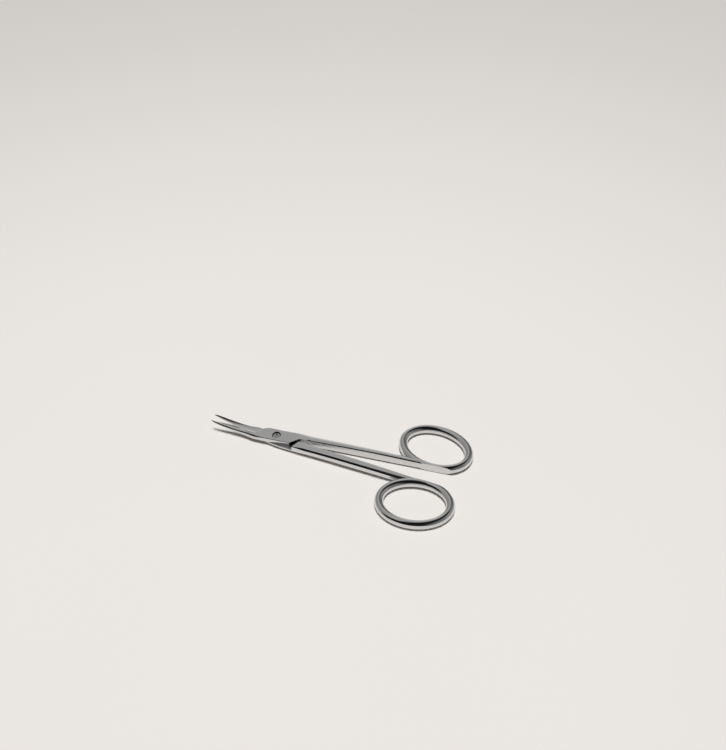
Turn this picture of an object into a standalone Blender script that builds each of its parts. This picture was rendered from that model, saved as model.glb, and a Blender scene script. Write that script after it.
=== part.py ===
"""Curved nail scissors: two forged halves that cross on one slotted pivot screw, lying slightly open.

Metres, +Z up. The origin is on the pivot's axis, in the plane that the scissors lie on. +X runs from the pivot to
the finger rings, the tips point to -X, and +Y is the side of the upper half's ring.

Each half is drawn closed, in its own frame, and then turned on the pivot. In that frame the halves are mirror images
across y = 0 and across the lap's plane, except that both blades bend upwards. They slide on one turned surface, whose
height depends only on the distance from the pivot, so the blades pass each other at any angle.
"""

import math

import bmesh
import bpy
from mathutils import Matrix, Vector

MM = 0.001

# The whole tool
TIP_REACH = 23.9 * MM
OPEN_HALF_ANGLE = math.radians(3.6)
JOINT_HEIGHT = 3.3 * MM
MID_HEIGHT = JOINT_HEIGHT / 2
RUNNING_GAP = 0.1 * MM

# Blades
BEND_START = 7.0 * MM
BEND_RADIUS = 57.0 * MM
BLADE_ROOT = 7.6 * MM
BLADE_ROOT_BACK = 2.2 * MM
BLADE_ROOT_EDGE = 0.3 * MM
TIP_HALF_WIDTH = 0.18 * MM
TIP_THICKNESS = 0.42 * MM
EDGE_LAND = 0.12 * MM
EDGE_RADIUS = 0.04 * MM

# Lap joint: each half has a plate of half the height, which ends short of the other half's shoulder
PLATE_EDGE_SIDE = 2.9 * MM
PLATE_BACK_SIDE = 2.42 * MM
PLATE_EDGE_RADIUS = 0.3 * MM
PLATE_REACH = 8.1 * MM
PLATE_END_SLOPE = 1.2
SHOULDER_REACH = 8.5 * MM
SHOULDER_SLOPE = 0.49

# Shanks
SHANK_WIDTH = 2.9 * MM
SHANK_INNER_RADIUS = 0.5 * MM
SHANK_OUTER_RADIUS = 1.25 * MM
STOP_GAP = 0.16 * MM

# Finger rings
RING_CENTRE_X = 53.4 * MM
RING_CENTRE_Y = 8.9 * MM
RING_LONG_RADIUS = 11.6 * MM
RING_SHORT_RADIUS = 8.5 * MM
RING_TURN = math.radians(-12.6)
ROD_WIDTH = 2.85 * MM
ROD_HEIGHT = JOINT_HEIGHT

# Pivot screw
SCREW_HEAD_RADIUS = 1.4 * MM
SCREW_HEAD_DEPTH = 0.75 * MM
SCREW_HEAD_BEVEL = 0.12 * MM
SCREW_NECK_RADIUS = 1.0 * MM
SCREW_TAIL_RADIUS = 0.85 * MM
SCREW_SINK = 0.2 * MM
SCREW_CLEARANCE = 0.06 * MM
MOUTH_CHAMFER = 0.2 * MM
SLOT_WIDTH = 0.45 * MM
SLOT_DEPTH = 0.4 * MM
SLOT_ANGLE = math.radians(35)

# Spare room of the tools that cut the halves, and spare metal beyond the lap surface that they cut off
CUT_OVERRUN = 4.0 * MM
CUT_WIDTH = PLATE_EDGE_SIDE + CUT_OVERRUN
LAP_SPARE = 0.45 * MM

# Outlines of the blade: (share of the tip's reach, share of the size at the root)
BLADE_BACK_SHARES = ((1.0, 0.0), (0.955, 0.2), (0.88, 0.34), (0.75, 0.5), (0.6, 0.66), (0.45, 0.83), (0.32, 1.0))
BLADE_EDGE_SHARES = ((1.0, 0.0), (0.9, 0.3), (0.6, 0.8), (0.36, 1.0))
BLADE_HEIGHT_SHARES = ((1.0, 0.0), (0.97, 0.1), (0.85, 0.3), (0.7, 0.52), (0.5, 0.84), (0.36, 1.0))
BLADE_BACK_ROUND_SHARES = (0.35, 0.45)
BLADE_BEVEL_SHARE = 0.62

# Outlines of the plate: (share of the blade root's distance, share of the plate's side)
PLATE_EDGE_SHARES = ((1.02, 0.12), (0.88, 0.42), (0.72, 0.68), (0.5, 0.85), (0.15, 0.95), (-0.4, 1.0), (-1.0, 1.0))
PLATE_BACK_SHARES = ((0.5, 1.0), (-0.75, 0.98))

# Outlines of the shank: (share of its length from the shoulder to inside the ring, share of its width or height)
SHANK_EDGE_SHARES = ((0.17, 0.98), (0.69, 0.83), (0.82, 0.745), (1.0, 0.41))
SHANK_HEIGHT_SHARES = ((0.0, 1.0), (0.13, 0.94), (0.69, 0.94), (0.81, 0.87), (1.0, 0.62))
SHANK_FLAT_START_SHARE = 0.08
SHANK_ROUND_START_SHARE = 0.18
SHANK_END_SHARE = 0.3
ROUND_LIMIT_SHARES = (0.6, 0.8)

# Facets
NOSE_SHARE = 0.06
NOSE_STEPS = 3
BLADE_STEPS = 22
JOINT_STEPS = 28
SHANK_STEPS = 36
CORNER_STEPS = 4
RING_STEPS = 56
ROD_SIDES = 16
TURN_STEPS = 48
BEND_STEPS = 14

# Places along a half: the shank runs from the shoulder to inside the ring's rod
SHANK_START = SHOULDER_REACH
SHANK_END = RING_CENTRE_X + SHANK_END_SHARE * RING_LONG_RADIUS
SHANK_LENGTH = SHANK_END - SHANK_START


def lap_height(radius):
    """Height of the surface on which the halves slide: flat at the joint, then an arc up to the tips."""
    run = max(0.0, radius - BEND_START)
    return MID_HEIGHT + BEND_RADIUS - math.sqrt(BEND_RADIUS**2 - run**2)


def through(points, x):
    """Value at x of the smooth curve through (x, value) points, which never overshoots them."""
    slopes = []
    spans = [(b[1] - a[1]) / (b[0] - a[0]) for a, b in zip(points, points[1:])]
    for before, after in zip([spans[0], *spans], [*spans, spans[-1]]):
        level = before * after <= 0
        slopes.append(0.0 if level else 2 * before * after / (before + after))
    if x <= points[0][0]:
        return points[0][1]
    for (x0, y0), (x1, y1), m0, m1 in zip(points, points[1:], slopes, slopes[1:]):
        if x <= x1:
            width = x1 - x0
            t = (x - x0) / width
            rise = (3 - 2 * t) * t * t
            lead = t * (1 - t) ** 2 * width
            trail = -t * t * (1 - t) * width
            return y0 + rise * (y1 - y0) + lead * m0 + trail * m1
    return points[-1][1]


def on_blade(shares, start, size):
    """(x, value) points of the blade, whose value grows from start at the tip by size at the root."""
    return [(-reach * TIP_REACH, start + share * size) for reach, share in shares]


def on_plate(shares, size):
    return [(-reach * BLADE_ROOT, share * size) for reach, share in shares]


def on_shank(shares, size):
    return [(SHANK_START + reach * SHANK_LENGTH, share * size) for reach, share in shares]


def back_side(x):
    """The side of the blade's back, which crosses over and becomes the shank's flat inner side."""
    blade = on_blade(BLADE_BACK_SHARES, -TIP_HALF_WIDTH, -BLADE_ROOT_BACK)
    plate = on_plate(PLATE_BACK_SHARES, -PLATE_BACK_SIDE)
    shank = on_shank(((SHANK_FLAT_START_SHARE, 1), (1, 1)), -STOP_GAP)
    return through(blade + plate + shank, x)


def edge_side(x):
    """The side of the cutting edge, which widens to the plate and becomes the shank's round outer side."""
    blade = on_blade(BLADE_EDGE_SHARES, TIP_HALF_WIDTH, BLADE_ROOT_EDGE)
    plate = on_plate(PLATE_EDGE_SHARES, PLATE_EDGE_SIDE)
    return through(blade + plate + on_shank(SHANK_EDGE_SHARES, SHANK_WIDTH), x)


def half_height(x):
    """From the lap surface to the half's outer face: the blade thins to its tip, the shank dips into the ring."""
    blade = on_blade(BLADE_HEIGHT_SHARES, TIP_THICKNESS, MID_HEIGHT - TIP_THICKNESS)
    return through(blade + on_shank(SHANK_HEIGHT_SHARES, MID_HEIGHT), x)


def lap_depth(x):
    """From the lap surface to the bar's other face: spare metal at the blade and plate, the full half behind."""
    if x < 0:
        return LAP_SPARE
    return min(half_height(x), through(((0, LAP_SPARE), (PLATE_BACK_SIDE, MID_HEIGHT)), x))


def blend_share(x):
    """0 on the blade, 1 on the plate, 2 on the shank, with smooth steps between them."""
    round_start = SHANK_START + SHANK_ROUND_START_SHARE * SHANK_LENGTH
    marks = ((-BLADE_ROOT, 0.0), (-BLADE_ROOT / 2, 1.0), (PLATE_REACH - PLATE_BACK_SIDE, 1.0), (round_start, 2.0))
    return through(marks, x)


def corner_radii(x, width, height):
    """(across, up) radii of a section's corners: outer face at back and edge, then lap side at back and edge."""
    back_across, back_up = BLADE_BACK_ROUND_SHARES
    blade = (
        (back_across * width, back_up * height),
        (BLADE_BEVEL_SHARE * width, height - EDGE_LAND),
        (EDGE_RADIUS, EDGE_RADIUS),
        (EDGE_RADIUS, EDGE_RADIUS),
    )
    plate = tuple((PLATE_EDGE_RADIUS, PLATE_EDGE_RADIUS) for _ in blade)
    width_limit, height_limit = ROUND_LIMIT_SHARES
    inner = (SHANK_INNER_RADIUS, SHANK_INNER_RADIUS)
    outer = (min(SHANK_OUTER_RADIUS, width_limit * width), min(SHANK_OUTER_RADIUS, height_limit * height))
    shank = (inner, outer, inner, outer)
    share = blend_share(x)
    low, high, part = (blade, plate, share) if share <= 1 else (plate, shank, share - 1)
    return [tuple(a + part * (b - a) for a, b in zip(one, two)) for one, two in zip(low, high)]


def corner(y, z, to_y, to_z, radii):
    """Points of a quarter of an ellipse whose square corner is (y, z), starting on the side given by to_z."""
    across, up = radii
    centre_y = y - to_y * across
    centre_z = z - to_z * up
    turns = [step / CORNER_STEPS * math.pi / 2 for step in range(CORNER_STEPS + 1)]
    return [(centre_y + to_y * across * math.sin(a), centre_z + to_z * up * math.cos(a)) for a in turns]


def section(x, side):
    """The closed outline at x: (x, y, z) points round the rounded bar that the half is forged from."""
    back = back_side(x)
    edge = edge_side(x)
    height = half_height(x)
    lap = lap_height(abs(x)) if x < 0 else MID_HEIGHT
    outer_z = lap + side * height
    lap_z = lap - side * lap_depth(x)
    outer_back, outer_edge, lap_back, lap_edge = corner_radii(x, edge - back, height)
    outline = corner(edge, outer_z, 1, side, outer_edge)
    outline += corner(edge, lap_z, 1, -side, lap_edge)[::-1]
    outline += corner(back, lap_z, -1, -side, lap_back)
    outline += corner(back, outer_z, -1, side, outer_back)[::-1]
    return [Vector((x, side * y, z)) for y, z in outline]


def spread(start, stop, count):
    """Evenly spaced places from start towards stop, which is left out."""
    return [start + (stop - start) * k / count for k in range(count)]


def stations():
    """Places of the sections: close together at the tip and along the joint."""
    nose = -TIP_REACH * (1 - NOSE_SHARE)
    places = spread(-TIP_REACH, nose, NOSE_STEPS) + spread(nose, -BLADE_ROOT, BLADE_STEPS)
    places += spread(-BLADE_ROOT, SHANK_START, JOINT_STEPS) + spread(SHANK_START, SHANK_END, SHANK_STEPS)
    return [*places, SHANK_END]


def mesh_object(name, build, hidden=False):
    """A new object whose mesh is filled by build(bmesh), with its faces turned outwards."""
    mesh = bpy.data.meshes.new(name)
    shape = bmesh.new()
    build(shape)
    bmesh.ops.recalc_face_normals(shape, faces=shape.faces)
    shape.to_mesh(mesh)
    shape.free()
    thing = bpy.data.objects.new(name, mesh)
    bpy.context.scene.collection.objects.link(thing)
    if hidden:
        thing.hide_render = True
        thing.display_type = "WIRE"
    return thing


def loft(shape, outlines, closed=False):
    """Joins outlines of equal length by quads and closes both ends, or joins the last to the first."""
    rings = [[shape.verts.new(point) for point in outline] for outline in outlines]
    pairs = list(zip(rings, rings[1:]))
    if closed:
        pairs.append((rings[-1], rings[0]))
    for one, two in pairs:
        for k in range(len(one)):
            after = (k + 1) % len(one)
            shape.faces.new((one[k], one[after], two[after], two[k]))
    if not closed:
        shape.faces.new(rings[0])
        shape.faces.new(rings[-1])


def prism(shape, corners, low, high):
    """An upright prism on a plan outline, between two heights."""
    loft(shape, [[Vector((x, y, z)) for x, y in corners] for z in (low, high)])


def turned(shape, profile):
    """A solid of revolution about the pivot's axis from (radius, height) points that start and end on the axis."""
    turns = spread(0, 2 * math.pi, TURN_STEPS)
    start = shape.verts.new((0, 0, profile[0][1]))
    end = shape.verts.new((0, 0, profile[-1][1]))
    rings = [[shape.verts.new((r * math.cos(a), r * math.sin(a), z)) for a in turns] for r, z in profile[1:-1]]
    for k in range(TURN_STEPS):
        after = (k + 1) % TURN_STEPS
        shape.faces.new((start, rings[0][k], rings[0][after]))
        shape.faces.new((end, rings[-1][after], rings[-1][k]))
        for one, two in zip(rings, rings[1:]):
            shape.faces.new((one[k], two[k], two[after], one[after]))


def boolean(thing, tool, operation):
    step = thing.modifiers.new(tool.name, "BOOLEAN")
    step.operation = operation
    step.object = tool
    step.solver = "EXACT"


def ring_outlines(side):
    """Oval sections of the ring's rod, square to its oval centre line."""
    outlines = []
    for turn in spread(0, 2 * math.pi, RING_STEPS):
        place = Vector((RING_LONG_RADIUS * math.cos(turn), RING_SHORT_RADIUS * math.sin(turn), 0))
        along = Vector((-RING_LONG_RADIUS * math.sin(turn), RING_SHORT_RADIUS * math.cos(turn), 0)).normalized()
        out = Vector((along.y, -along.x, 0))
        outline = []
        for side_number in range(ROD_SIDES):
            round_turn = 2 * math.pi * (side_number + 0.5) / ROD_SIDES
            across = ROD_WIDTH / 2 * math.cos(round_turn)
            up = ROD_HEIGHT / 2 * math.sin(round_turn) / math.cos(math.pi / ROD_SIDES)
            point = Matrix.Rotation(RING_TURN, 3, "Z") @ (place + across * out)
            outline.append(Vector((RING_CENTRE_X + point.x, side * (RING_CENTRE_Y + point.y), MID_HEIGHT + up)))
        outlines.append(outline)
    return outlines


def lap_cutter(name, side):
    """The space of the other half: under or over the turned lap surface, as far back as the shoulder."""
    reach = TIP_REACH + CUT_OVERRUN
    bends = spread(BEND_START, reach, BEND_STEPS) + [reach]
    top = [(radius, lap_height(radius) + side * RUNNING_GAP / 2) for radius in bends]
    low = -CUT_OVERRUN
    high = lap_height(reach) + CUT_OVERRUN
    far = low if side > 0 else high
    profile = [(0, far), (reach, far), *reversed(top), (0, MID_HEIGHT + side * RUNNING_GAP / 2)]
    tool = mesh_object(name, lambda shape: turned(shape, profile), hidden=True)
    corners = [
        (SHOULDER_REACH + SHOULDER_SLOPE * CUT_WIDTH, -side * CUT_WIDTH),
        (reach + CUT_OVERRUN, -side * CUT_WIDTH),
        (reach + CUT_OVERRUN, side * CUT_WIDTH),
        (SHOULDER_REACH - SHOULDER_SLOPE * CUT_WIDTH, side * CUT_WIDTH),
    ]
    ends = (low - CUT_OVERRUN, high + CUT_OVERRUN)
    stop = mesh_object(name + "_stop", lambda shape: prism(shape, corners, *ends), hidden=True)
    boolean(tool, stop, "DIFFERENCE")
    return tool, stop


def flat_cutter(name, side):
    """What is ground off behind the plate: the shank's and ring's flat inner side, and the plate's slanted end."""
    flat = STOP_GAP / 2
    far = RING_CENTRE_X + RING_LONG_RADIUS + ROD_WIDTH
    corners = [
        (PLATE_REACH + PLATE_END_SLOPE * flat, side * flat),
        (far, side * flat),
        (far, -side * CUT_WIDTH),
        (PLATE_REACH - PLATE_END_SLOPE * CUT_WIDTH, -side * CUT_WIDTH),
    ]
    return mesh_object(name, lambda shape: prism(shape, corners, -CUT_OVERRUN, JOINT_HEIGHT + CUT_OVERRUN), hidden=True)


def screw_sides(grow):
    """Head, neck and tail of the pivot screw as (radius, height) points, top to bottom, all grown by a clearance."""
    top = JOINT_HEIGHT - SCREW_SINK
    return [
        (SCREW_HEAD_RADIUS + grow, top - SCREW_HEAD_BEVEL),
        (SCREW_NECK_RADIUS + grow, top - SCREW_HEAD_DEPTH - grow),
        (SCREW_NECK_RADIUS + grow, MID_HEIGHT - grow),
        (SCREW_TAIL_RADIUS + grow, MID_HEIGHT - grow),
    ]


def screw_hole():
    """The screw's shape with clearance, with a chamfered mouth above its head, and open below its tail."""
    mouth = SCREW_HEAD_RADIUS + SCREW_CLEARANCE
    wide = mouth + MOUTH_CHAMFER
    tail = SCREW_TAIL_RADIUS + SCREW_CLEARANCE
    top = JOINT_HEIGHT + CUT_OVERRUN
    above = [(0, top), (wide, top), (wide, JOINT_HEIGHT), (mouth, JOINT_HEIGHT - MOUTH_CHAMFER)]
    whole = [*above, *screw_sides(SCREW_CLEARANCE), (tail, -CUT_OVERRUN), (0, -CUT_OVERRUN)]
    return mesh_object("screw_hole", lambda shape: turned(shape, whole), hidden=True)


def pivot_screw(material):
    """The slotted screw: countersunk head in the upper half, neck through it, tail in the lower half."""
    top = JOINT_HEIGHT - SCREW_SINK
    crown = [(0, top), (SCREW_HEAD_RADIUS - SCREW_HEAD_BEVEL, top)]
    profile = [*crown, *screw_sides(0.0), (SCREW_TAIL_RADIUS, 0), (0, 0)]
    thing = mesh_object("pivot_screw", lambda shape: turned(shape, profile))
    reach = SCREW_HEAD_RADIUS + CUT_OVERRUN
    half_slot = SLOT_WIDTH / 2
    corners = [(-reach, -half_slot), (reach, -half_slot), (reach, half_slot), (-reach, half_slot)]
    slot = mesh_object("slot", lambda shape: prism(shape, corners, top - SLOT_DEPTH, top + CUT_OVERRUN), hidden=True)
    slot.rotation_euler.z = SLOT_ANGLE
    boolean(thing, slot, "DIFFERENCE")
    finish(thing, material)


def forged_half(name, side, hole, material):
    """One forged half: the lofted bar, its ring, the ground flat and the lap, turned open on the pivot."""
    bar = mesh_object(name, lambda shape: loft(shape, [section(x, side) for x in stations()]))
    ring = mesh_object(name + "_ring", lambda shape: loft(shape, ring_outlines(side), closed=True), hidden=True)
    flat = flat_cutter(name + "_flat", side)
    lap, stop = lap_cutter(name + "_lap", side)
    boolean(bar, ring, "UNION")
    boolean(bar, flat, "DIFFERENCE")
    boolean(bar, lap, "DIFFERENCE")
    boolean(bar, hole, "DIFFERENCE")
    for thing in (bar, ring, flat, lap, stop):
        thing.rotation_euler.z = side * OPEN_HALF_ANGLE
    finish(bar, material)


def finish(thing, material):
    thing.data.materials.append(material)
    thing.data.shade_smooth()
    thing.data.set_sharp_from_angle(angle=math.radians(40))


def steel(name, colour, roughness):
    material = bpy.data.materials.new(name)
    material.use_nodes = True
    shader = material.node_tree.nodes["Principled BSDF"]
    shader.inputs["Base Color"].default_value = (*colour, 1.0)
    shader.inputs["Metallic"].default_value = 1.0
    shader.inputs["Roughness"].default_value = roughness
    return material


def main():
    for thing in list(bpy.data.objects):
        bpy.data.objects.remove(thing, do_unlink=True)
    polished = (0.62, 0.62, 0.63)
    hole = screw_hole()
    forged_half("upper_half", 1, hole, steel("upper_half_steel", polished, 0.12))
    forged_half("lower_half", -1, hole, steel("lower_half_steel", polished, 0.12))
    pivot_screw(steel("screw_steel", (0.5, 0.5, 0.51), 0.25))


main()
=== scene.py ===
"""Looks of the curved nail scissors: two polished halves and their slotted screw, on a plain pale floor.

Metres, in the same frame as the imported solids: the origin is under the pivot, +X runs to the finger rings,
and +Y is the side of the upper half's ring. Each half is worked out closed, in its own frame, and is then
turned open. In that frame y runs from the back of the blade to its cutting edge, for both halves alike.
"""

import math

import bpy
import numpy as np
from bpy.props import FloatProperty, FloatVectorProperty, IntProperty, PointerProperty
from mathutils import Matrix, Vector


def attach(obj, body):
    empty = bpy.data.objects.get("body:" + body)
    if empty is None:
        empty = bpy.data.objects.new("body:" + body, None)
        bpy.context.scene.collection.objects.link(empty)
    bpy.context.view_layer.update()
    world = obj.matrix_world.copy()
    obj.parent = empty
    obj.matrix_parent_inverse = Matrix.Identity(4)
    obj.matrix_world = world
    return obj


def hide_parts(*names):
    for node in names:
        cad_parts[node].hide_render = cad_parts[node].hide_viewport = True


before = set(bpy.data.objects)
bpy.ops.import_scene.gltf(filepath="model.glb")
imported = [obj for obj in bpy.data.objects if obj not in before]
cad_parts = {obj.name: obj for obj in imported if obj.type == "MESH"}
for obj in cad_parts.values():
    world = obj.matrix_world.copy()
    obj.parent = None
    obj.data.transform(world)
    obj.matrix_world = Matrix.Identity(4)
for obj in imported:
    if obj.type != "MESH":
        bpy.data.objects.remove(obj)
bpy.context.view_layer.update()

bl_info = {
    "name": "Curved nail scissors",
    "version": (1, 0, 0),
    "blender": (4, 5, 0),
    "location": "View3D > Sidebar > Scissors",
    "description": "Builds a pair of polished curved nail scissors on a pale studio floor",
    "category": "Add Mesh",
}

MM = 0.001
HALVES = {"upper": 1, "lower": -1}

# Outlines of the blade: (share of the tip's reach, share of the size at the root)
BLADE_BACK = ((1.0, 0.0), (0.955, 0.17), (0.88, 0.29), (0.75, 0.42), (0.6, 0.55), (0.45, 0.74), (0.32, 1.0))
BLADE_EDGE = ((1.0, 0.0), (0.9, 0.3), (0.6, 0.8), (0.36, 1.0))
BLADE_HEIGHT = ((1.0, 0.0), (0.97, 0.1), (0.85, 0.26), (0.7, 0.44), (0.5, 0.74), (0.36, 1.0))

# Outlines of the plate: (share of the blade root's distance, share of the plate's side)
PLATE_EDGE = ((1.02, 0.12), (0.88, 0.39), (0.72, 0.63), (0.5, 0.8), (0.15, 0.92), (-0.4, 1.0), (-1.0, 1.0))
PLATE_BACK = ((0.5, 1.0), (-0.75, 0.98))

# Outlines of the shank: (share of its length from the shoulder into the ring, share of its width or height)
SHANK_BACK = ((0.08, 1.0), (1.0, 1.0))
SHANK_EDGE = ((0.17, 0.98), (0.69, 0.83), (0.82, 0.745), (1.0, 0.41))
SHANK_ARCH = ((-0.1, 0.0), (0.12, 0.8), (0.3, 1.0), (0.5, 0.9), (0.85, 0.5), (1.0, 0.5))
SHANK_HEIGHT = ((0.0, 1.0), (0.5, 1.0), (0.69, 0.94), (0.81, 0.87), (1.0, 0.62))

# Fading of the blade's hollow, from the tip to the root and on into the plate: shares as above
HOLLOW_BLADE = ((1.0, 0.2), (0.85, 0.6), (0.6, 1.0))
HOLLOW_PLATE = ((1.0, 1.0), (0.55, 0.0))

# Where the shank ends inside the ring, as a share of the ring's long radius, and where its roundings start
SHANK_END = 0.3
SHANK_ROUND_START = 0.07

# How far the ring's inner side rises with the arch of the shank, as a share of that arch
RING_RISE = 0.5

# The nose: its share of the tip's reach, and the power by which its sections draw together
NOSE_SHARE = 0.06
NOSE_POWER = 1.5

# Corner roundings across and up: shares of a section's width and height, or of the named radii. The plate's
# edge has its own, in front and behind, on the upper half (1) and the lower half (-1)
BLADE_EDGE_ROUND = 0.48
BLADE_BACK_ROUND = (0.5, 0.75)
PLATE_ROUND_REACH = (-0.4, 0.2)
PLATE_ROUND = {1: (0.12, 1.0), -1: (1.75, 1.6)}
SHANK_INNER_SPREAD = 1.3
SHANK_INNER_LIMIT = 0.34
SHANK_OUTER_SPREAD = 1.25
SHANK_OUTER_LIMITS = (0.64, 0.95)

# Slants: length along x for each length across
PLATE_SLANT = 1.2
SHOULDER_SLANT = 0.49

# Reach of the tools that cut the halves, and the spare metal that they take away
OVERRUN = 1 * MM
TOOL_SIDE = 7 * MM
TOOL_LOW = -4 * MM
FLAT_TOOL_TOP = 8 * MM
LAP_TOOL_TOP = 12 * MM
LAP_TOOL_FRONT = 3 * MM
SPARE_METAL = 0.45 * MM

# Finely divided part of the lap tool's face, from the back to the edge, in millimetres
LAP_TOOL_SIDES = (-3.2, 3.4)

# Numbers of points along and round the pieces
NOSE_POINTS = 13
BLADE_POINTS = 61
JOINT_POINTS = 81
SHANK_POINTS = 121
SIDE_STEPS = 4
RING_POINTS = 180
ROD_POINTS = 48
LAP_POINTS = 221
LAP_LINES = 67
TURN_POINTS = 96
DISH_POINTS = 14

# The smallest circle of the screw's dish, as a share of the largest
DISH_START = 0.1

# The bend's run is kept below this share of its radius, where the arc would turn back
BEND_LIMIT = 0.9

# How coarse each ground face is, from 0, polished, to 1. The plate's is added to the lap side's, from this
# share of the blade root's distance on
INNER_GRIND = 0.4
LAP_GRIND = 0.15
PLATE_GRIND = 0.6
PLATE_GRIND_START = -0.8

# Faces on a surface lie this near it, and the upright ends at the joint lie between these two x
FLAT_TOLERANCE = 0.002 * MM
HOLE_TOLERANCE = 0.01 * MM
HOLE_START = 0.1 * MM
JOINT_ENDS = (4 * MM, 9.5 * MM)

# Parts of a face's normal: the least for a ground face, and what tells the ends and the hole's wall apart
INNER_FACING = 0.99
LAP_FACING = 0.9
END_FACING = 0.3
END_TILT = 0.02
WALL_TILT = 0.5

# Edges of a piece stay sharp past this angle
SHARP_ANGLE = math.radians(30)

# Steel: the clouds of its uneven polish, with the shares by which they change its colour and its roughness,
# and its fine marks, drawn out by unlike scales along x, y and z, with their strength on polished and on
# ground faces
CLOUD_SCALE = 420.0
CLOUD_TONES = (0.9, 1.06)
CLOUD_ROUGHNESS = (0.6, 1.4)
# Near black, painted as shade on the upright ends in the notch and on the screw hole's wall
PAINTED_SHADE_COLOUR = (0.035, 0.034, 0.033, 1.0)
MARK_SCALES = (5000.0, 300.0, 800.0)
MARK_DEPTH = 0.02 * MM
MARK_STRENGTH = 0.03
MARK_GROUND_STRENGTH = 0.1

# Room that the steel mirrors: its grey levels, in the order in which they are laid over each other
FAR_TONES = (0.8, 0.45)
FAR_RIGHT_TONE = 0.15
FRONT_TONE = 0.98
SIDE_TONE = 0.33
CEILING_TONES = (0.012, 0.2)
SECOND_MIRROR_TONE = 0.26
WARMTH = (1.0, 0.99, 0.97)

# Fading of the room's parts: the low and high end of a smooth step over a part of the direction looked in
FRONT = (0.25, -0.97, 0)
FAR_RISE = (0.0, 0.75)
FAR_RIGHT = (-0.17, 0.0)
FRONT_TURN = (0.0, 0.5)
SIDE_TURN = (0.35, 0.7)
CEILING_RIGHT = (0.35, 0.75)
CEILING_FRONT = (0.17, 0.31)
CEILING_RISE = (0.12, 0.26)
LEAN_RISE = (0.72, 0.92)
LEAN_START = -0.22
LEAN_SLOPE = 3.0
LEAN_LEAST = 0.66

# Weak light from all round, and the share of the floor's colour that the backdrop keeps
SOFT_COLOUR = (1.0, 0.985, 0.96, 1.0)
BACKDROP_SHARE = 0.985

# Floor: its reach to each side in metres, its unevenness, and the middle and the reach of its painted shade
FLOOR_REACH = 2.0
FLOOR_CLOUD_SCALE = 6.0
FLOOR_TONES = (0.985, 1.015)
FLOOR_MIDDLE = (0.02, -0.06, 0.0)
FLOOR_SHADING = (0.08, 0.5)
FLOOR_ROUGHNESS = 0.9
FLOOR_SPECULAR = 0.1

# Overhead lamp: where it stands, shining towards the origin, its width and its colour
LAMP_PLACE = (0.03, -0.05, 1.0)
LAMP_WIDTH = math.radians(18)
LAMP_COLOUR = (1.0, 0.99, 0.97)

# Camera: its angle, the point on the floor that it looks at and its distance from there, both in
# millimetres, and its lens
CAMERA_ELEVATION = math.radians(44.0)
CAMERA_AZIMUTH = math.radians(20.2)
CAMERA_ROLL = math.radians(-1.5)
CAMERA_AIM = (17.15, 39.95, 0.0)
CAMERA_DISTANCE = 364.5
CAMERA_LENS = 48.0
CAMERA_SENSOR = 36.0
CAMERA_CLIP = 0.01


def length(name, description, millimetres):
    """A length property with its default given in millimetres."""
    default = millimetres * MM
    return FloatProperty(name=name, description=description, default=default, unit="LENGTH", precision=5)


def angle(name, description, degrees):
    """An angle property with its default given in degrees."""
    return FloatProperty(name=name, description=description, default=math.radians(degrees), subtype="ANGLE")


def roughness(name, description, default):
    return FloatProperty(name=name, description=description, default=default, subtype="FACTOR")


def colour(name, description, default):
    return FloatVectorProperty(name=name, description=description, default=default, subtype="COLOR")


def strength(name, description, default):
    return FloatProperty(name=name, description=description, default=default)


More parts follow.
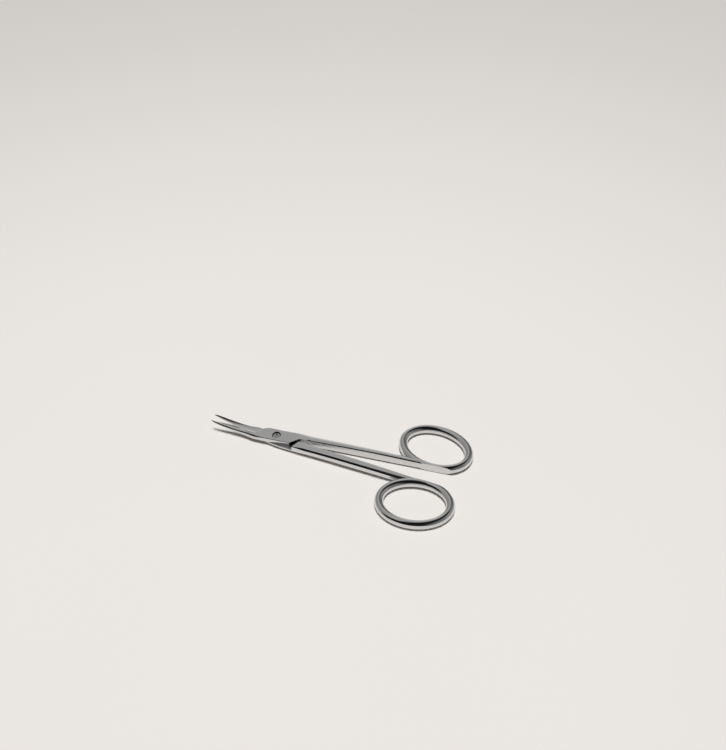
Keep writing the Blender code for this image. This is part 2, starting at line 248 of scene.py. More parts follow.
class ScissorsSizes(bpy.types.PropertyGroup):
    """Sizes of the two halves and the screw."""

    tip_reach: length("Tip reach", "From the pivot to the tips", 23.65)
    half_angle: angle("Half angle", "Angle by which each half is turned open", 3.6)
    joint_height: length("Joint height", "Height of both plates together", 3.3)
    running_gap: length("Running gap", "Gap between the halves where they slide on each other", 0.1)
    bend_start: length("Bend start", "Distance from the pivot where the blades start to bend up", 7.0)
    bend_radius: length("Bend radius", "Radius of the arc on which the blades bend up", 57.0)
    blade_root: length("Blade root", "Distance from the pivot to the blade's root", 7.6)
    blade_back: length("Blade back", "Side of the blade's back at its root, beyond the tip's", 2.2)
    blade_edge: length("Blade edge", "Side of the cutting edge at the root, beyond the tip's", 0.3)
    tip_half_width: length("Tip half width", "Half the width of the blade at its tip", 0.1)
    tip_thickness: length("Tip thickness", "Thickness of the blade at its tip", 0.32)
    edge_land: length("Edge land", "Height of the narrow land beside the cutting edge", 0.12)
    edge_radius: length("Edge radius", "Rounding of the ground edges", 0.04)
    hollow: length("Hollow", "Depth of the hollow ground into the blade's inner face", 0.22)
    plate_edge: length("Plate edge side", "Plate's side on the edge side", 3.05)
    plate_back: length("Plate back side", "Plate's side on the back side", 2.42)
    plate_edge_radius: length("Plate edge radius", "Rounding of the plate's outer face, edge side", 0.9)
    plate_back_radius: length("Plate back radius", "Rounding of the plate's outer face, back side", 0.4)
    plate_reach: length("Plate reach", "From the pivot to the plate's slanted end", 8.1)
    shoulder_reach: length("Shoulder reach", "From the pivot to the shank's shoulder", 8.5)
    shank_width: length("Shank width", "Width of the shank at the shoulder", 2.9)
    shank_inner_radius: length("Shank inner radius", "Rounding beside the shank's flat inner side", 0.95)
    shank_outer_radius: length("Shank outer radius", "Rounding of the shank's outer side", 1.5)
    shank_arch: length("Shank arch", "How far the shank arches up between joint and ring", 0.45)
    stop_gap: length("Stop gap", "Gap between the flat inner sides when the scissors are closed", 0.16)
    ring_x: length("Ring centre X", "Distance of the ring's centre along the half", 53.4)
    ring_y: length("Ring centre Y", "Distance of the ring's centre to the side", 8.9)
    ring_long: length("Ring long radius", "Long radius of the ring's centre line", 11.53)
    ring_short: length("Ring short radius", "Short radius of the ring's centre line", 8.44)
    ring_turn: angle("Ring turn", "Turn of the oval ring, seen from above", -12.6)
    rod_width: length("Rod width", "Width of the ring's rod", 2.9)
    rod_height: length("Rod height", "Height of the ring's rod", 3.1)
    head_radius: length("Screw head radius", "Radius of the screw's head", 1.4)
    head_depth: length("Screw head depth", "Depth of the screw's countersunk head", 0.75)
    head_bevel: length("Screw head bevel", "Bevel round the screw's head", 0.12)
    neck_radius: length("Screw neck radius", "Radius of the screw's neck", 1.0)
    tail_radius: length("Screw tail radius", "Radius of the screw's tail", 0.85)
    sink: length("Screw sink", "How far the head lies below the plate's face", 0.5)
    clearance: length("Screw clearance", "Gap all round the screw", 0.06)
    mouth: length("Mouth chamfer", "Chamfer round the mouth of the screw's hole", 0.08)
    dish: length("Screw dish", "Depth of the dish in the screw's head", 0.1)
    slot_width: length("Slot width", "Width of the screwdriver slot", 0.4)
    slot_depth: length("Slot depth", "Depth of the screwdriver slot", 0.4)
    slot_turn: angle("Slot turn", "Direction of the screwdriver slot", 104)
    fineness: IntProperty(
        name="Fineness", description="Steps round each rounded corner", default=12, min=4, max=24
    )


class SteelFinish(bpy.types.PropertyGroup):
    """Colours and polish of the steel."""

    steel: colour("Steel", "Colour of the polished steel", (0.7, 0.7, 0.705))
    screw: colour("Screw", "Colour of the screw's steel", (0.5, 0.5, 0.51))
    polish: roughness("Polish roughness", "Roughness of the polished faces", 0.08)
    grind: roughness("Ground roughness", "Roughness of the coarsest ground faces", 0.55)
    screw_polish: roughness("Screw roughness", "Roughness of the screw", 0.2)


class StageLook(bpy.types.PropertyGroup):
    """Colours and light of the studio."""

    floor: colour("Floor", "Colour of the floor", (0.81, 0.785, 0.765))
    soft_light: strength("Soft light", "Strength of the light from all round", 0.12)
    key_light: strength("Key light", "Strength of the light from overhead", 2.85)
    # Painted shade: the floor's colour is darkened to this share far out, and the backdrop matches it
    far_shade: strength("Far shade", "Share of the floor's colour left far out", 0.76)


def curve_through(points, x):
    """Values at x of the smooth curve through (x, value) points, which never overshoots them.

    Between two points it is the cubic with the slopes m at its ends, where m is the harmonic mean of the
    slopes of the straight lines on either side, or 0 at a turning point.
    """
    px, py = np.array(points, float).T
    spans = np.diff(py) / np.diff(px)
    before = np.concatenate([spans[:1], spans])
    after = np.concatenate([spans, spans[-1:]])
    product = before * after
    total = np.where(product > 0, before + after, 1.0)
    slopes = np.where(product > 0, 2 * product / total, 0.0)
    k = np.clip(np.searchsorted(px, x, side="right") - 1, 0, len(px) - 2)
    width = px[k + 1] - px[k]
    t = np.clip((x - px[k]) / width, 0, 1)
    rise = (3 - 2 * t) * t * t
    lead = t * (1 - t) ** 2 * width * slopes[k]
    trail = t * t * (1 - t) * width * slopes[k + 1]
    return py[k] + rise * (py[k + 1] - py[k]) + lead - trail


def on_blade(s, shares, start, size):
    """(x, value) points of the blade, whose value grows from start at the tip by size at the root."""
    return [(-reach * s.tip_reach, start + share * size) for reach, share in shares]


def on_plate(s, shares, size):
    """(x, value) points of the plate, by shares of the blade root's distance and of a size."""
    return [(-reach * s.blade_root, share * size) for reach, share in shares]


def shank_end(s):
    """Where the shank ends, inside the ring's rod."""
    return s.ring_x + SHANK_END * s.ring_long


def on_shank(s, shares, size):
    """(x, value) points of the shank, by shares of its length from the shoulder on and of a size."""
    span = shank_end(s) - s.shoulder_reach
    return [(s.shoulder_reach + reach * span, share * size) for reach, share in shares]


def lap_height(s, radius):
    """Height of the surface on which the halves slide, at a distance r from the pivot's axis.

    z = h/2 near the pivot, and h/2 + R - sqrt(R^2 - (r - r0)^2) past r0, where the blades bend up.
    """
    run = np.clip(radius - s.bend_start, 0, BEND_LIMIT * s.bend_radius)
    return s.joint_height / 2 + s.bend_radius - np.sqrt(s.bend_radius**2 - run**2)


def back_side(s, x):
    """The side of the blade's back, which crosses over and becomes the shank's flat inner side."""
    blade = on_blade(s, BLADE_BACK, -s.tip_half_width, -s.blade_back)
    plate = on_plate(s, PLATE_BACK, -s.plate_back)
    return curve_through(blade + plate + on_shank(s, SHANK_BACK, -s.stop_gap), x)


def edge_side(s, x):
    """The side of the cutting edge, which widens to the plate and becomes the shank's round outer side."""
    blade = on_blade(s, BLADE_EDGE, s.tip_half_width, s.blade_edge)
    plate = on_plate(s, PLATE_EDGE, s.plate_edge)
    return curve_through(blade + plate + on_shank(s, SHANK_EDGE, s.shank_width), x)


def half_height(s, x):
    """From the lap surface to the half's outer face."""
    half = s.joint_height / 2
    blade = on_blade(s, BLADE_HEIGHT, s.tip_thickness, half - s.tip_thickness)
    return curve_through(blade + on_shank(s, SHANK_HEIGHT, half), x)


def lap_depth(s, x):
    """From the lap surface to the bar's other face: a little spare metal in front, the full half behind."""
    deep = curve_through([(0, SPARE_METAL), (s.plate_back, s.joint_height / 2)], x)
    return np.where(x < 0, SPARE_METAL, np.minimum(half_height(s, x), deep))


def corner_radii(s, x, width, height, side):
    """(across, up) radii of a section's corners, as four pairs of arrays.

    The order is outer face at the edge, lap side at the edge, lap side at the back, outer face at the back.
    Blade, plate and shank have their own radii, with smooth steps between them: the zone is 0 on the blade,
    1 on the plate and 2 on the shank.
    """
    round_start = s.shoulder_reach + SHANK_ROUND_START * (shank_end(s) - s.shoulder_reach)
    zones = [
        (-s.blade_root, 0.0),
        (-s.blade_root / 2, 1.0),
        (s.plate_reach - s.plate_back, 1.0),
        (round_start, 2.0),
    ]
    zone = curve_through(zones, x)
    to_plate = np.clip(zone, 0, 1)
    to_shank = np.clip(zone - 1, 0, 1)
    fine = np.full_like(x, s.edge_radius)
    by_back = np.full_like(x, s.plate_back_radius)
    front, behind = PLATE_ROUND_REACH
    front_share, behind_share = PLATE_ROUND[side]
    growth = [(front * s.blade_root, front_share), (behind * s.plate_reach, behind_share)]
    by_edge = s.plate_edge_radius * curve_through(growth, x)
    inner_across = np.minimum(SHANK_INNER_SPREAD * s.shank_inner_radius, SHANK_INNER_LIMIT * width)
    inner_up = np.full_like(x, s.shank_inner_radius)
    outer_across = np.minimum(SHANK_OUTER_SPREAD * s.shank_outer_radius, SHANK_OUTER_LIMITS[0] * width)
    outer_up = np.minimum(s.shank_outer_radius, SHANK_OUTER_LIMITS[1] * height)
    blades = [
        (BLADE_EDGE_ROUND * width, height - s.edge_land),
        (fine, fine),
        (fine, fine),
        (BLADE_BACK_ROUND[0] * width, BLADE_BACK_ROUND[1] * height),
    ]
    plates = [(by_edge, by_edge), (by_back, by_back), (by_back, by_back), (by_back, by_back)]
    shanks = [(outer_across, outer_up)] * 2 + [(inner_across, inner_up)] * 2
    return [
        tuple(b + to_plate * (p - b) + to_shank * (k - p) for b, p, k in zip(blade, plate, shank))
        for blade, plate, shank in zip(blades, plates, shanks)
    ]


def corner(y, z, to_y, to_z, radii, count):
    """Quarter ellipses in the corners (y, z), one row for each section, from the to_z to the to_y side.

    A point at turn a is (y, z) - (to_y, to_z) * radii * (1 - sin a, 1 - cos a).
    """
    across, up = (r[:, None] for r in radii)
    a = np.linspace(0, math.pi / 2, count + 1)[None]
    round_y = y[:, None] - to_y * across * (1 - np.sin(a))
    round_z = z[:, None] - to_z * up * (1 - np.cos(a))
    return np.stack([round_y, round_z], -1)


def straight(start, end, count):
    """Points between two rows of points, without either."""
    t = (np.arange(1, count) / count)[None, :, None]
    return start[:, None] * (1 - t) + end[:, None] * t


def bar_points(s, side):
    """Grid of the bar that a half is forged from: sections in (y, z), carried along x.

    A section is a rectangle with four rounded corners, y from the back to the edge and z from the lap side
    to the outer face, whose sides and radii follow the curves above.
    """
    tip = s.tip_reach
    nose = -tip + NOSE_SHARE * tip * np.linspace(0, 1, NOSE_POINTS) ** NOSE_POWER
    x = np.concatenate([
        nose[:-1],
        np.linspace(nose[-1], -s.blade_root, BLADE_POINTS)[:-1],
        np.linspace(-s.blade_root, s.shoulder_reach, JOINT_POINTS)[:-1],
        np.linspace(s.shoulder_reach, shank_end(s), SHANK_POINTS),
    ])
    back = back_side(s, x)
    edge = edge_side(s, x)
    height = half_height(s, x)
    arch = curve_through(on_shank(s, SHANK_ARCH, s.shank_arch), x)
    lap = np.where(x < 0, lap_height(s, np.abs(x)), s.joint_height / 2 + arch)
    outer_z = lap + side * height
    lap_z = lap - side * lap_depth(s, x)
    outer_edge, lap_edge, lap_back, outer_back = corner_radii(s, x, edge - back, height, side)
    n = s.fineness
    corners = [
        corner(edge, outer_z, 1, side, outer_edge, 2 * n),
        corner(edge, lap_z, 1, -side, lap_edge, n)[:, ::-1],
        corner(back, lap_z, -1, -side, lap_back, n),
        corner(back, outer_z, -1, side, outer_back, n)[:, ::-1],
    ]
    rows = []
    for part, after in zip(corners, corners[1:] + corners[:1]):
        rows += [part, straight(part[:, -1], after[:, 0], SIDE_STEPS)]
    outline = np.concatenate(rows, 1)
    lengthways = np.broadcast_to(x[:, None, None], (*outline.shape[:2], 1))
    return np.concatenate([lengthways, outline * (side, 1)], -1)


def ring_points(s, side):
    """Grid of the ring: an ellipse (a cos t, b sin t), turned and moved, with an elliptic rod square to it.

    A point of the rod at turn u lies w/2 cos u outwards and h/2 sin u up from the centre line. The ring
    lies on its outer side and rises to the shank's arch on its inner side.
    """
    t = np.linspace(0, 2 * math.pi, RING_POINTS, endpoint=False)[:, None]
    u = np.linspace(0, 2 * math.pi, ROD_POINTS, endpoint=False)[None]
    out = np.stack([s.ring_short * np.cos(t), s.ring_long * np.sin(t)])
    out /= np.hypot(*out)
    x = s.ring_long * np.cos(t) + out[0] * s.rod_width / 2 * np.cos(u)
    y = s.ring_short * np.sin(t) + out[1] * s.rod_width / 2 * np.cos(u)
    c, k = math.cos(s.ring_turn), math.sin(s.ring_turn)
    rise = RING_RISE * s.shank_arch * (1 - np.sin(t)) / 2
    z = s.rod_height / 2 * (1 + np.sin(u)) + rise
    return np.stack([s.ring_x + c * x - k * y, side * (s.ring_y + k * x + c * y), z], -1)


def hollow_depth(s, x, y):
    """Depth of the hollow ground into a blade: d (1 - t^2), with t from -1 at the back to 1 at the edge."""
    back = back_side(s, x)
    edge = edge_side(s, x)
    t = np.clip((2 * y - back - edge) / (edge - back), -1, 1)
    fade = curve_through(on_blade(s, HOLLOW_BLADE, 0.0, 1.0) + on_plate(s, HOLLOW_PLATE, 1.0), x)
    return s.hollow * fade * (1 - t * t)


def lap_tool_points(s, side):
    """Grid of the space of the other half: under or over the lap surface, back to the slanted shoulder.

    Its face is z = lap height at hypot(x, y), moved by half the gap and by the hollow, on lines from the
    tip to the shoulder.
    """
    y = np.concatenate([[-TOOL_SIDE], np.linspace(*LAP_TOOL_SIDES, LAP_LINES) * MM, [TOOL_SIDE]])
    t = np.linspace(0, 1, LAP_POINTS)[:, None]
    front = -(s.tip_reach + LAP_TOOL_FRONT)
    x = front + t * (s.shoulder_reach - SHOULDER_SLANT * y[None] - front)
    across = np.broadcast_to(y[None], x.shape)
    z = lap_height(s, np.hypot(x, across)) + side * (s.running_gap / 2 + hollow_depth(s, x, across))
    face = np.stack([x, side * across, z], -1)
    far = face[:, [-1, 0]].copy()
    far[..., 2] = TOOL_LOW if side > 0 else LAP_TOOL_TOP
    return np.concatenate([face, far], 1)


def rectangle(x, y):
    """Corners of the rectangle that reaches x and y to each side of the origin."""
    return [(-x, -y), (x, -y), (x, y), (-x, y)]


def prism_points(corners, low, high):
    """Grid of an upright prism on a plan outline."""
    plan = np.array(corners, float)
    return np.stack([np.column_stack([plan, np.full(len(plan), z)]) for z in (low, high)])


def turned_points(profile):
    """Grid of a solid of revolution about z: (r cos a, r sin a, z) for the profile's points (r, z)."""
    radius, z = np.array(profile, float).T[:, :, None]
    a = np.linspace(0, 2 * math.pi, TURN_POINTS, endpoint=False)[None]
    return np.stack([radius * np.cos(a), radius * np.sin(a), z + 0 * a], -1)


def grid_solid(name, points, closed=False):
    """A closed mesh object on a grid whose rows are loops: quads between rows, and a face on each end row.

    With closed, the last row joins the first. The faces are turned outwards by the sign of the volume.
    """
    rows, columns = points.shape[:2]
    index = np.arange(rows * columns).reshape(rows, columns)
    after = np.roll(index, -1, 1)
    low = slice(None) if closed else slice(0, -1)
    next_row = np.roll(index, -1, 0)[low]
    next_after = np.roll(after, -1, 0)[low]
    quads = np.stack([index[low], after[low], next_after, next_row], -1).reshape(-1, 4)
    caps = [] if closed else [index[0][::-1], index[-1]]
    flat = points.reshape(-1, 3)
    fans = [np.stack([np.full(len(c) - 2, c[0]), c[1:-1], c[2:]], -1) for c in caps]
    triangles = np.concatenate([quads[:, :3], quads[:, [0, 2, 3]], *fans])
    a, b, c = (flat[triangles[:, k]] for k in range(3))
    volume = np.einsum("ij,ij->i", a, np.cross(b, c)).sum() / 6
    faces = quads.tolist() + [cap.tolist() for cap in caps]
    if volume < 0:
        faces = [face[::-1] for face in faces]
    mesh = bpy.data.meshes.new(name)
    mesh.from_pydata(flat, [], faces)
    mesh.update()
    thing = bpy.data.objects.new(name, mesh)
    bpy.context.scene.collection.objects.link(thing)
    return thing


def combine(thing, tool, operation):
    """Joins a tool to a piece or cuts it away, and deletes the tool."""
    step = thing.modifiers.new(operation, "BOOLEAN")
    step.operation = operation
    step.object = tool
    step.solver = "EXACT"
    result = bpy.data.meshes.new_from_object(thing.evaluated_get(bpy.context.evaluated_depsgraph_get()))
    thing.modifiers.clear()
    old = thing.data
    result.name = thing.name
    thing.data = result
    bpy.data.meshes.remove(old)
    mesh = tool.data
    bpy.data.objects.remove(tool)
    bpy.data.meshes.remove(mesh)
    if not thing.data.polygons:
        raise RuntimeError(f"{thing.name} has no faces left after {operation}")


def flat_tool(s, side):
    """What is ground off behind the plate: the flat inner side, and the plate's slanted end."""
    flat = s.stop_gap / 2
    far = s.ring_x + 2 * s.ring_long
    corners = [
        (s.plate_reach + PLATE_SLANT * flat, side * flat),
        (far, side * flat),
        (far, -side * TOOL_SIDE),
        (s.plate_reach - PLATE_SLANT * TOOL_SIDE, -side * TOOL_SIDE),
    ]
    return grid_solid("flat_tool", prism_points(corners, TOOL_LOW, FLAT_TOOL_TOP))


def screw_profile(s, grow):
    """Head, neck and tail of the screw as (radius, height) points, top to bottom, grown by a clearance."""
    top = s.joint_height - s.sink
    middle = s.joint_height / 2
    return [
        (s.head_radius + grow, top - s.head_bevel),
        (s.neck_radius + grow, top - s.head_depth - grow),
        (s.neck_radius + grow, middle - grow),
        (s.tail_radius + grow, middle - grow),
    ]


def hole_tool(s):
    """The screw's hole: a chamfered mouth, and the screw grown by its clearance."""
    mouth = s.head_radius + s.clearance
    tail = s.tail_radius + s.clearance
    high = s.joint_height
    above = [(mouth + s.mouth + OVERRUN, high + OVERRUN), (mouth, high - s.mouth)]
    profile = [*above, *screw_profile(s, s.clearance), (tail, -OVERRUN)]
    return grid_solid("hole_tool", turned_points(profile))


def turn_open(thing, turn):
    """Turns a mesh about the pivot's axis."""
    thing.data.transform(Matrix.Rotation(turn, 4, "Z"))
    thing.data.update()


def dress(thing, material):
    """Gives a piece its one material and smooth shading, with its edges kept sharp."""
    thing.data.materials.append(material)
    thing.data.shade_smooth()
    thing.data.set_sharp_from_angle(angle=SHARP_ANGLE)


def face_arrays(mesh):
    """Normals and centres of a mesh's faces."""
    arrays = []
    for name in ("normal", "center"):
        values = np.empty(len(mesh.polygons) * 3, np.float32)
        mesh.polygons.foreach_get(name, values)
        arrays.append(values.reshape(-1, 3))
    return arrays


def mark_faces(mesh, name, values):
    """Writes a number for each face as an attribute that the material reads."""
    attribute = mesh.attributes.new(name, "FLOAT", "FACE")
    attribute.data.foreach_set("value", values.astype(np.float32))


def mark_finishes(s, mesh, side):
    """Marks the faces that a wheel ground flat, and those in the notch and the screw's hole that get painted
    shade.

    Ground are the flat inner side, at side y = half the stop gap, and the lap side, whose z is the lap
    height. The plate's lap side is left coarser.
    Painted shade goes on the upright ends of the plate and of the shank at the joint, and on the upright
    faces near the pivot's axis: they are painted near black to stand in for the shade of the notch and of
    the hole.
    """
    normal, centre = face_arrays(mesh)
    x, y, z = centre.T
    along_x, along_y, along_z = normal.T
    half = s.joint_height / 2
    radius = np.hypot(x, y)
    outward = side * (z - half)
    on_flat = np.abs(side * y - s.stop_gap / 2) < FLAT_TOLERANCE
    inner = on_flat & (side * along_y < -INNER_FACING)
    on_lap = np.abs(z - lap_height(s, radius)) < s.hollow + s.running_gap
    lap = on_lap & (side * along_z < -LAP_FACING) & (x < s.shoulder_reach)
    plate = lap & (x > PLATE_GRIND_START * s.blade_root)
    mark_faces(mesh, "ground", INNER_GRIND * inner + LAP_GRIND * lap + PLATE_GRIND * plate)
    # The ends and the hole's wall are marked for painted shade: near black, standing in for the shade of the
    # notch and the hole
    at_joint = (x > JOINT_ENDS[0]) & (x < JOINT_ENDS[1]) & (outward < half)
    ends = at_joint & (np.abs(along_x) > END_FACING) & (np.abs(along_z) < END_TILT)
    in_hole = (radius < s.head_radius + s.clearance + HOLE_TOLERANCE) & (outward > HOLE_START)
    wall = in_hole & (np.abs(z - half) < half - HOLE_TOLERANCE) & (np.abs(along_z) < WALL_TILT)
    mark_faces(mesh, "painted_shade", ends | wall)


def forge_half(s, body, material):
    """One half: the bar joined to its ring, with the flat, the lap and the hole cut, and turned open."""
    side = HALVES[body]
    piece = grid_solid(f"{body}_half_steelwork", bar_points(s, side))
    combine(piece, grid_solid("ring", ring_points(s, side), closed=True), "UNION")
    combine(piece, flat_tool(s, side), "DIFFERENCE")
    combine(piece, grid_solid("lap_tool", lap_tool_points(s, side)), "DIFFERENCE")
    combine(piece, hole_tool(s), "DIFFERENCE")
    mark_finishes(s, piece.data, side)
    turn_open(piece, side * s.half_angle)
    dress(piece, material)
    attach(piece, body)
    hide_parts(f"{body}_half")


def connect(tree, socket, value):
    """Links an output to an input, or gives the input a value."""
    if isinstance(value, bpy.types.NodeSocket):
        tree.links.new(value, socket)
    else:
        socket.default_value = value


def fill(tree, made, *values, **named):
    """Fills in a node: its settings and inputs by name, then its first inputs by place."""
    for key, value in named.items():
        if hasattr(made, key):
            setattr(made, key, value)
        else:
            connect(tree, made.inputs[key.replace("_", " ")], value)
    for socket, value in zip(made.inputs, values):
        connect(tree, socket, value)
    return made


def node(tree, kind, *values, **named):
    """A new node, filled in."""
    return fill(tree, tree.nodes.new(kind), *values, **named)


def math_of(tree, operation, *values):
    """The result of one operation on numbers and outputs."""
    return node(tree, "ShaderNodeMath", *values, operation=operation).outputs["Value"]


def mixed(tree, share, first, second, data_type="RGBA"):
    """From first to second by share."""
    made = node(tree, "ShaderNodeMix", data_type=data_type, Factor=share, A=first, B=second)
    return made.outputs["Result"]


def noise(tree, place, scale, detail, rough=0.5):
    """Soft noise from 0 to 1; rough is how strongly its finer layers show."""
    made = node(tree, "ShaderNodeTexNoise", Vector=place, Scale=scale, Detail=detail, Roughness=rough)
    return made.outputs["Fac"]


def shaded(rgb, share):
    """A colour times a share, as an opaque colour."""
    return (*[min(1.0, share * c) for c in rgb], 1.0)


def smooth_step(tree, value, low, high):
    """0 below low, 1 above high, and a smooth step between them."""
    step = node(tree, "ShaderNodeMapRange", value, low, high, interpolation_type="SMOOTHSTEP")
    return step.outputs["Result"]


def new_material(name):
    """A new material and its shader's tree."""
    material = bpy.data.materials.new(name)
    material.use_nodes = True
    return material, material.node_tree


def steel_material(name, rgb, polish, grind):
    """Polished steel: a faintly uneven polish, fine wiping scratches, and the wheel's marks where ground.

    The attribute ground says how coarse a face is, and the other attribute marks the faces painted near
    black as the shade of the notch and the hole.
    """
    material, tree = new_material(name)
    place = node(tree, "ShaderNodeTexCoord").outputs["Object"]
    ground = node(tree, "ShaderNodeAttribute", attribute_name="ground").outputs["Fac"]
    painted_shade = node(tree, "ShaderNodeAttribute", attribute_name="painted_shade").outputs["Fac"]
    cloud = noise(tree, place, CLOUD_SCALE, detail=4.0, rough=0.6)
    bright = mixed(tree, cloud, *[shaded(rgb, tone) for tone in CLOUD_TONES])
    # Painted shade: the marked faces are turned near black
    base = mixed(tree, painted_shade, bright, PAINTED_SHADE_COLOUR)
    low, high = CLOUD_ROUGHNESS
    spread = node(tree, "ShaderNodeMapRange", Value=cloud, To_Min=low, To_Max=high).outputs["Result"]
    rough = math_of(tree, "MULTIPLY", mixed(tree, ground, polish, grind, "FLOAT"), spread)
    drawn_out = node(tree, "ShaderNodeMapping", Vector=place, Scale=MARK_SCALES).outputs["Vector"]
    marks = noise(tree, drawn_out, scale=1.0, detail=3.0)
    depth = math_of(tree, "MULTIPLY_ADD", ground, MARK_GROUND_STRENGTH, MARK_STRENGTH)
    bump = node(tree, "ShaderNodeBump", Distance=MARK_DEPTH, Strength=depth, Height=marks).outputs["Normal"]
    fill(tree, tree.nodes["Principled BSDF"], Metallic=1.0, Base_Color=base, Roughness=rough, Normal=bump)
    return material


class SCISSORS_OT_halves(bpy.types.Operator):
    """Build the two forged and ground steel halves"""

    bl_idname = "scissors.halves"
    bl_label = "Two halves"

    def execute(self, context):
        finish = context.scene.steel_finish
        material = steel_material("polished_steel", finish.steel, finish.polish, finish.grind)
        for body in HALVES:
            forge_half(context.scene.scissors_sizes, body, material)
        return {"FINISHED"}


class SCISSORS_OT_screw(bpy.types.Operator):
    """Build the slotted pivot screw"""

    bl_idname = "scissors.screw"
    bl_label = "Pivot screw"

    def execute(self, context):
        s = context.scene.scissors_sizes
        finish = context.scene.steel_finish
        top = s.joint_height - s.sink
        rim = s.head_radius - s.head_bevel
        share = np.linspace(DISH_START, 1, DISH_POINTS)
        dish = np.column_stack([rim * share, top - s.dish * (1 - share**2)]).tolist()
        profile = [*dish, *screw_profile(s, 0.0), (s.tail_radius, 0.0)]
        piece = grid_solid("pivot_screw_steelwork", turned_points(profile))
        plan = rectangle(s.head_radius + OVERRUN, s.slot_width / 2)
        slot = grid_solid("slot_tool", prism_points(plan, top - s.slot_depth, top + OVERRUN))
        turn_open(slot, s.slot_turn)
        combine(piece, slot, "DIFFERENCE")
        dress(piece, steel_material("screw_steel", finish.screw, finish.screw_polish, finish.screw_polish))
        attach(piece, "lower")
        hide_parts("pivot_screw")
        return {"FINISHED"}


def along(tree, direction, axis):
    """Dot product of a direction and an axis."""
    return node(tree, "ShaderNodeVectorMath", direction, axis, operation="DOT_PRODUCT").outputs["Value"]


def blended(tree, share, first, second):
    """Colour from first to second by share; each is a faintly warm grey level or a socket."""
    ends = [(*[c * v for c in WARMTH], 1.0) if isinstance(v, float) else v for v in (first, second)]
    return mixed(tree, share, *ends)


def mirrored_room(tree, direction, mirrors):
    """Colours of the room that the steel mirrors, worked out from the direction's parts by smooth steps.

    The room is white low in front, grey at the sides and the far end, and dark above the camera and to its
    right. High up, the dark part reaches behind by max(rightward, start) * slope + least. What is mirrored
    twice is an even grey.
    """
    rightward = along(tree, direction, (1, 0, 0))
    height = along(tree, direction, (0, 0, 1))
    forward = along(tree, direction, FRONT)
    far_end = blended(tree, smooth_step(tree, height, *FAR_RISE), *FAR_TONES)
    far_end = blended(tree, smooth_step(tree, rightward, *FAR_RIGHT), far_end, FAR_RIGHT_TONE)
    walls = blended(tree, smooth_step(tree, forward, *FRONT_TURN), far_end, FRONT_TONE)
    sideways = math_of(tree, "ABSOLUTE", rightward)
    walls = blended(tree, smooth_step(tree, sideways, *SIDE_TURN), walls, SIDE_TONE)
    ceiling = blended(tree, smooth_step(tree, rightward, *CEILING_RIGHT), *CEILING_TONES)
    lean = math_of(tree, "MULTIPLY", math_of(tree, "MAXIMUM", rightward, LEAN_START), LEAN_SLOPE)
    lean = math_of(tree, "ADD", lean, LEAN_LEAST)
    lean = math_of(tree, "MULTIPLY", lean, smooth_step(tree, height, *LEAN_RISE))
    overhead = smooth_step(tree, math_of(tree, "ADD", forward, lean), *CEILING_FRONT)
    high = smooth_step(tree, height, *CEILING_RISE)
    room = blended(tree, math_of(tree, "MULTIPLY", overhead, high), walls, ceiling)
    return blended(tree, math_of(tree, "GREATER_THAN", mirrors, 1.5), room, SECOND_MIRROR_TONE)


def studio_world(look):
    """World light: pale for the camera, weak and soft from all round, and for the steel the mirrored room.

    A ray that has met the floor before it meets the steel gets the soft light instead of the room.
    """
    world = bpy.data.worlds.new("studio")
    bpy.context.scene.world = world
    world.use_nodes = True
    tree = world.node_tree
    tree.nodes.clear()
    rays = node(tree, "ShaderNodeLightPath").outputs
    direction = node(tree, "ShaderNodeTexCoord").outputs["Generated"]
    room = mirrored_room(tree, direction, rays["Glossy Depth"])
    mirrored = node(tree, "ShaderNodeBackground", Color=room).outputs[0]
    pale = (*look.floor, 1.0)
    backdrop = node(tree, "ShaderNodeBackground", Color=pale, Strength=BACKDROP_SHARE * look.far_shade)
    soft = node(tree, "ShaderNodeBackground", Color=SOFT_COLOUR, Strength=look.soft_light).outputs[0]
    direct = math_of(tree, "LESS_THAN", rays["Diffuse Depth"], 0.5)
    in_steel = math_of(tree, "MULTIPLY", rays["Is Glossy Ray"], direct)
    light = node(tree, "ShaderNodeMixShader", in_steel, soft, mirrored).outputs[0]
    final = node(tree, "ShaderNodeMixShader", rays["Is Camera Ray"], light, backdrop.outputs[0])
    node(tree, "ShaderNodeOutputWorld", Surface=final.outputs[0])


def floor_material(look):
    """Matt pale board with a faint unevenness, and painted shade that greys it away from the middle in place
    of the light's falloff.
    """
    material, tree = new_material("pale_floor")
    place = node(tree, "ShaderNodeTexCoord").outputs["Object"]
    cloud = noise(tree, place, FLOOR_CLOUD_SCALE, detail=2.0)
    near = mixed(tree, cloud, *[shaded(look.floor, tone) for tone in FLOOR_TONES])
    # Painted shade: the floor's colour fades to the far shade away from the middle, standing in for the
    # light's falloff
    away = node(tree, "ShaderNodeVectorMath", place, FLOOR_MIDDLE, operation="DISTANCE").outputs["Value"]
    shading = smooth_step(tree, away, *FLOOR_SHADING)
    base = mixed(tree, shading, near, shaded(look.floor, look.far_shade))
    shader = tree.nodes["Principled BSDF"]
    fill(tree, shader, Base_Color=base, Roughness=FLOOR_ROUGHNESS, Specular_IOR_Level=FLOOR_SPECULAR)
    return material


def lay_floor(scene, look):
    """A plain square board under everything."""
    mesh = bpy.data.meshes.new("floor")
    mesh.from_pydata([(x, y, 0.0) for x, y in rectangle(FLOOR_REACH, FLOOR_REACH)], [], [(0, 1, 2, 3)])
    mesh.materials.append(floor_material(look))
    floor = bpy.data.objects.new("floor", mesh)
    scene.collection.objects.link(floor)


def hang_lamp(scene, look):
    """A wide overhead sun, which the steel doesn't mirror."""
    lamp = bpy.data.lights.new("key", "SUN")
    lamp.angle = LAMP_WIDTH
    lamp.energy = look.key_light
    lamp.color = LAMP_COLOUR
    key = bpy.data.objects.new("key", lamp)
    key.location = LAMP_PLACE
    key.rotation_euler = Vector(LAMP_PLACE).to_track_quat("Z", "Y").to_euler()
    key.visible_glossy = False
    scene.collection.objects.link(key)


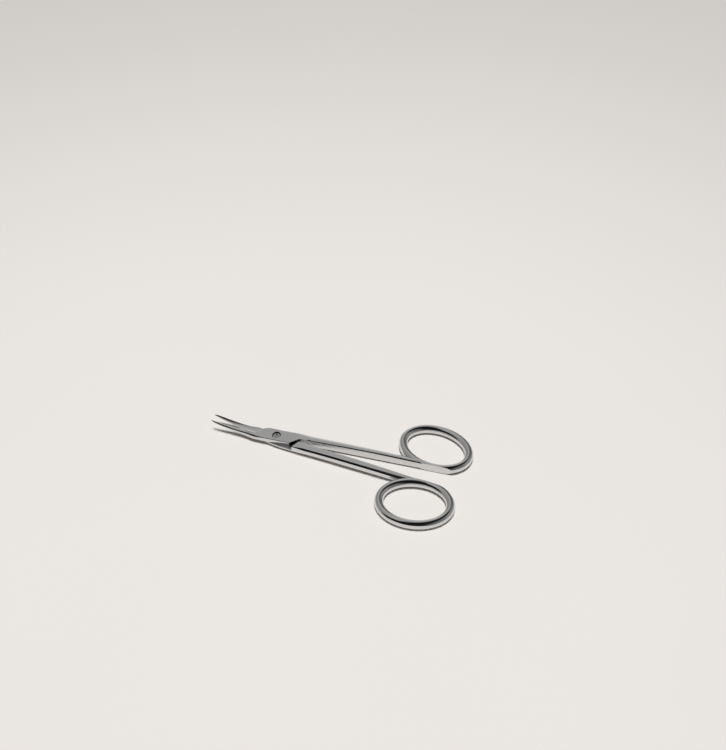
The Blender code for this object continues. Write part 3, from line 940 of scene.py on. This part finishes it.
def place_camera(scene):
    """Camera at the photograph's angle: 44 degrees up, 20 degrees right of the front, rolled a little."""
    level = math.cos(CAMERA_ELEVATION)
    back = Vector((
        math.sin(CAMERA_AZIMUTH) * level,
        -math.cos(CAMERA_AZIMUTH) * level,
        math.sin(CAMERA_ELEVATION),
    ))
    right = Vector((math.cos(CAMERA_AZIMUTH), math.sin(CAMERA_AZIMUTH), 0.0))
    right = Matrix.Rotation(CAMERA_ROLL, 3, back) @ right
    up = back.cross(right)
    data = bpy.data.cameras.new("camera")
    data.lens = CAMERA_LENS
    data.sensor_width = CAMERA_SENSOR
    data.clip_start = CAMERA_CLIP
    camera = bpy.data.objects.new("camera", data)
    place = Matrix((right, up, back)).transposed().to_4x4()
    place.translation = Vector(CAMERA_AIM) * MM + back * CAMERA_DISTANCE * MM
    camera.matrix_world = place
    scene.collection.objects.link(camera)
    scene.camera = camera


class SCISSORS_OT_stage(bpy.types.Operator):
    """Set up the floor, the light and the camera"""

    bl_idname = "scissors.stage"
    bl_label = "Floor, light and camera"

    def execute(self, context):
        look = context.scene.stage_look
        context.scene.view_settings.view_transform = "Standard"
        studio_world(look)
        lay_floor(context.scene, look)
        hang_lamp(context.scene, look)
        place_camera(context.scene)
        return {"FINISHED"}


class SCISSORS_PT_panel(bpy.types.Panel):
    """Lists the pieces, their sizes and their finishes"""

    bl_idname = "SCISSORS_PT_panel"
    bl_label = "Scissors"
    bl_space_type = "VIEW_3D"
    bl_region_type = "UI"
    bl_category = "Scissors"

    def draw(self, context):
        column = self.layout.column()
        for operator in OPERATORS:
            column.operator(operator.bl_idname)
        for group in GROUPS:
            values = getattr(context.scene, group)
            for name in values.__annotations__:
                column.prop(values, name)


OPERATORS = (SCISSORS_OT_halves, SCISSORS_OT_screw, SCISSORS_OT_stage)
GROUPS = {"scissors_sizes": ScissorsSizes, "steel_finish": SteelFinish, "stage_look": StageLook}


def register():
    for group in GROUPS.values():
        bpy.utils.register_class(group)
    for name, group in GROUPS.items():
        setattr(bpy.types.Scene, name, PointerProperty(type=group))
    for operator in (*OPERATORS, SCISSORS_PT_panel):
        bpy.utils.register_class(operator)


def unregister():
    for operator in (SCISSORS_PT_panel, *OPERATORS):
        bpy.utils.unregister_class(operator)
    for name, group in GROUPS.items():
        delattr(bpy.types.Scene, name)
        bpy.utils.unregister_class(group)


def main():
    register()
    bpy.ops.scissors.halves()
    bpy.ops.scissors.screw()
    bpy.ops.scissors.stage()


if __name__ == "__main__":
    main()
